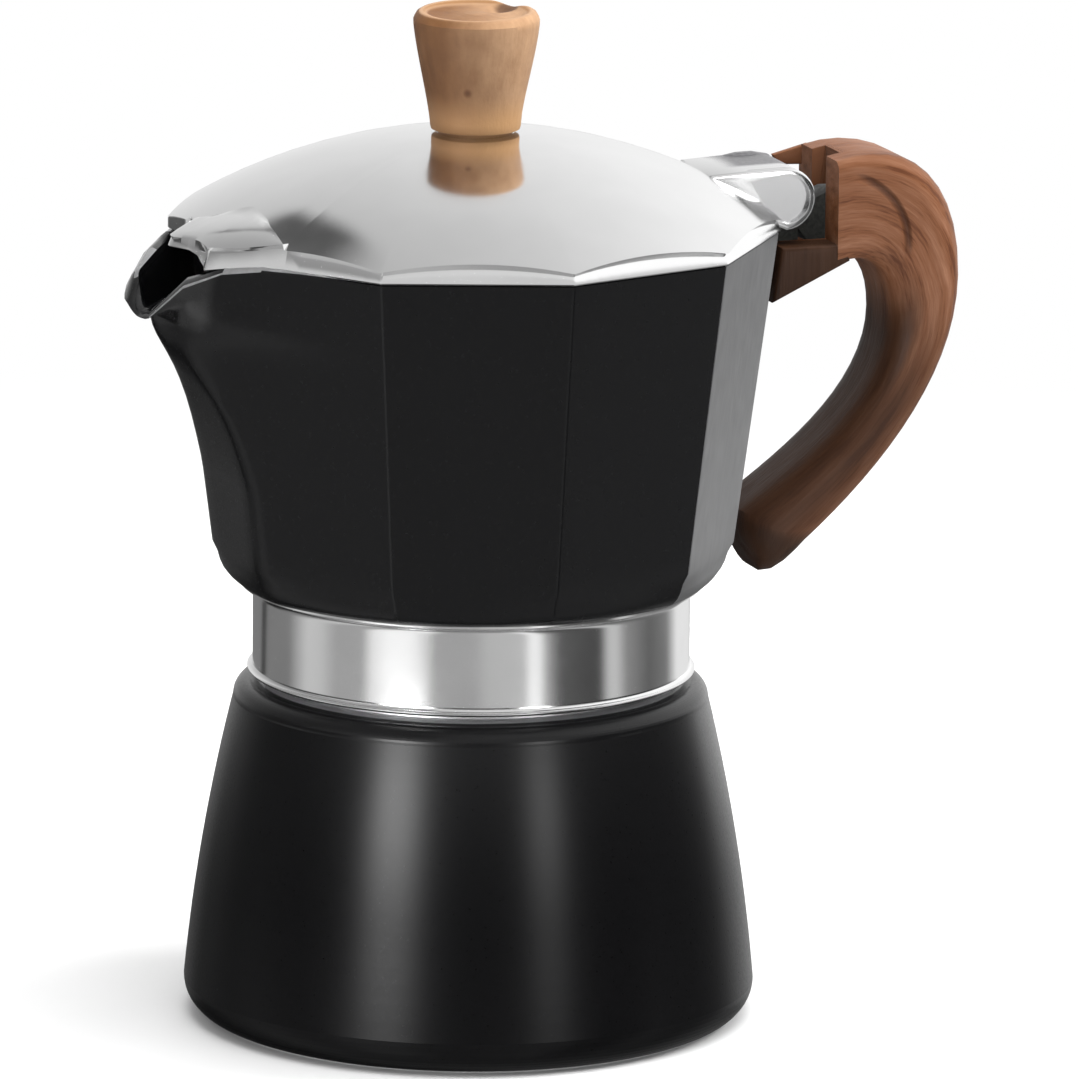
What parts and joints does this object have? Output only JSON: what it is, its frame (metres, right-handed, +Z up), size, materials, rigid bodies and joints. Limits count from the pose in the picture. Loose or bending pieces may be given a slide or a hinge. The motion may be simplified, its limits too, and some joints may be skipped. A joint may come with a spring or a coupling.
{
  "type": "moka pot",
  "caption": "Stovetop coffee maker: flared boiler, threaded ten-sided collector with spout, domed hinged lid with wooden knob, and curved wooden handle.",
  "frame": {"origin": "centre of the boiler's flat base, on the surface the pot stands on", "axes": "+Z up along the pot's axis, +X towards the handle, -X towards the spout, +Y towards the safety valve"},
  "size_m": [0.1336, 0.0971, 0.1581],
  "materials": {
    "black_paint": "satin black paint over cast aluminium",
    "black_enamel": "cast aluminium, black paint on the body's faces, bare polished collar",
    "polished_aluminium": "polished",
    "bare_aluminium": "satin",
    "brass": "turned",
    "steel": "plain",
    "white_rubber": "matt",
    "red_fibre": "matt fibre",
    "light_wood": "light wood, satin",
    "dark_wood": "walnut brown, satin"
  },
  "bodies": {
    "boiler": {"boiler": "black_paint", "valve_body": "brass", "valve_washer": "red_fibre", "valve_cap": "brass", "valve_spring": "steel"},
    "valve": {"valve_stem": "steel"},
    "funnel": {"funnel": "bare_aluminium", "funnel_sieve": "steel"},
    "seal": {"gasket": "white_rubber", "filter_plate": "bare_aluminium"},
    "collector": {"collector": "black_enamel", "column": "bare_aluminium", "hinge_pin": "steel", "handle": "dark_wood", "handle_screw": "steel", "handle_washer": "steel"},
    "lid": {"lid": "polished_aluminium", "knob": "light_wood", "knob_screw": "steel", "knob_washer": "steel"}
  },
  "joints": [
    {"name": "lid_hinge", "type": "hinge", "parent": "collector", "child": "lid", "pos_m": [0.0484, 0, 0.127], "axis": [0, 1, 0], "range_deg": [0, 115]},
    {"name": "collector_lift", "type": "slide", "parent": "boiler", "child": "seal", "axis": [0, 0, 1], "range_m": [0, 0.13]},
    {"name": "collector_turn", "type": "hinge", "parent": "seal", "child": "collector", "pos_m": [0, 0, 0.0605], "axis": [0, 0, 1], "range_deg": [0, 900]},
    {"name": "funnel_lift", "type": "slide", "parent": "boiler", "child": "funnel", "axis": [0, 0, 1], "range_m": [0, 0.065]},
    {"name": "valve_slide", "type": "slide", "parent": "boiler", "child": "valve", "axis": [0, 1, 0], "range_m": [0, 0.0015], "stiffness_N_per_m": 1500, "springref_m": -0.002, "deforming": ["valve_spring"]}
  ],
  "couplings": [
    {"joint": "funnel_lift", "follows": "collector_lift", "ratio": 0.5}
  ]
}
